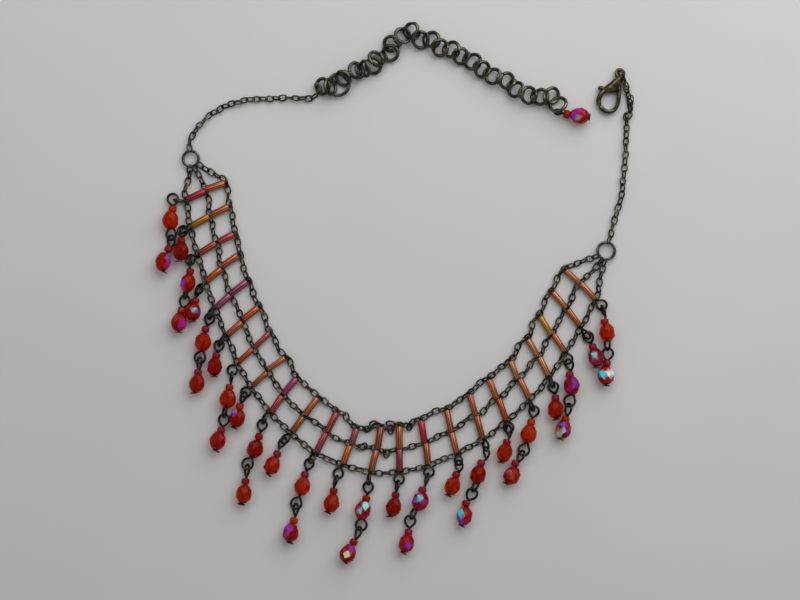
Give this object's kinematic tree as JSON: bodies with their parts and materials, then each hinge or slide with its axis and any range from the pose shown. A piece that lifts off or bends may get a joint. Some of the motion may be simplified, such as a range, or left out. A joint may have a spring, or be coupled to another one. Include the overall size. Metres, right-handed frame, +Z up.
{
  "type": "beaded choker necklace with extender and lobster clasp",
  "caption": "Three-row fine chain choker laid flat, joined by long glass beads on pins, with faceted bead drops, an extender chain and a lobster clasp.",
  "frame": {"origin": "middle of the bounding box, on the surface the necklace lies on", "axes": "+X to the wearer's left across the necklace, towards the end with the clasp; +Y from the front of the bib to the nape; +Z up from the surface"},
  "size_m": [0.1667, 0.189, 0.0059],
  "materials": {
    "dark_brass": "antiqued, dark",
    "bugle_beads": "glossy, metal-lined",
    "red_beads": "glossy, faceted"
  },
  "bodies": {
    "necklace": {"inner_chain": "dark_brass", "middle_chain": "dark_brass", "outer_chain": "dark_brass", "rung_01": "bugle_beads", "rung_02": "bugle_beads", "rung_03": "bugle_beads", "rung_04": "bugle_beads", "rung_05": "bugle_beads", "rung_06": "bugle_beads", "rung_07": "bugle_beads", "rung_08": "bugle_beads", "rung_09": "bugle_beads", "rung_10": "bugle_beads", "rung_11": "bugle_beads", "rung_12": "bugle_beads", "rung_13": "bugle_beads", "rung_14": "bugle_beads", "rung_15": "bugle_beads", "rung_16": "bugle_beads", "rung_17": "bugle_beads", "rung_18": "bugle_beads", "rung_19": "bugle_beads", "rung_20": "bugle_beads", "rung_21": "bugle_beads", "rung_22": "bugle_beads", "rung_23": "bugle_beads", "drop_01": "red_beads", "drop_02": "red_beads", "drop_03": "red_beads", "drop_04": "red_beads", "drop_05": "red_beads", "drop_06": "red_beads", "drop_07": "red_beads", "drop_08": "red_beads", "drop_09": "red_beads", "drop_10": "red_beads", "drop_11": "red_beads", "drop_12": "red_beads", "drop_13": "red_beads", "drop_14": "red_beads", "drop_15": "red_beads", "drop_16": "red_beads", "drop_17": "red_beads", "drop_18": "red_beads", "drop_19": "red_beads", "drop_20": "red_beads", "drop_21": "red_beads", "drop_22": "red_beads", "drop_23": "red_beads", "left_ring": "dark_brass", "right_ring": "dark_brass", "left_neck_chain": "dark_brass", "right_neck_chain": "dark_brass", "extender_first_link": "dark_brass", "extender_second_link": "dark_brass", "extender_ring": "dark_brass", "extender_chain": "dark_brass", "extender_drop": "red_beads", "clasp_body": "dark_brass"},
    "clasp_lever": {"clasp_lever": "dark_brass"}
  },
  "joints": [
    {"name": "clasp_lever_pivot", "type": "hinge", "parent": "necklace", "child": "clasp_lever", "pos_m": [0.07359, 0.07089, 0.00135], "axis": [0, 0, 1], "range_deg": [0, 30], "stiffness_Nm_per_rad": 0.002, "springref_deg": -11.46}
  ]
}
